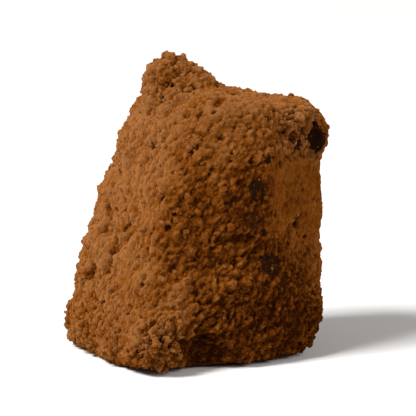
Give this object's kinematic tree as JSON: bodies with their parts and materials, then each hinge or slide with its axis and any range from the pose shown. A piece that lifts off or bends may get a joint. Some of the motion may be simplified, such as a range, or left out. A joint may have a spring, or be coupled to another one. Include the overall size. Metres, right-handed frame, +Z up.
{
  "type": "chocolate truffle",
  "caption": "Cocoa-dusted chocolate truffle: a leaning, rounded-square lump of ganache with a flat foot to stand on and a blunt ear on its top.",
  "frame": {"origin": "on the table, under the middle of the truffle's bounding box", "axes": "+Z up from the flat foot; the broad front face looks along -Y; the truffle leans towards +X"},
  "size_m": [0.0242, 0.0268, 0.0283],
  "materials": {
    "cocoa_powder": null
  },
  "bodies": {
    "root": {"truffle": "cocoa_powder"}
  },
  "joints": []
}
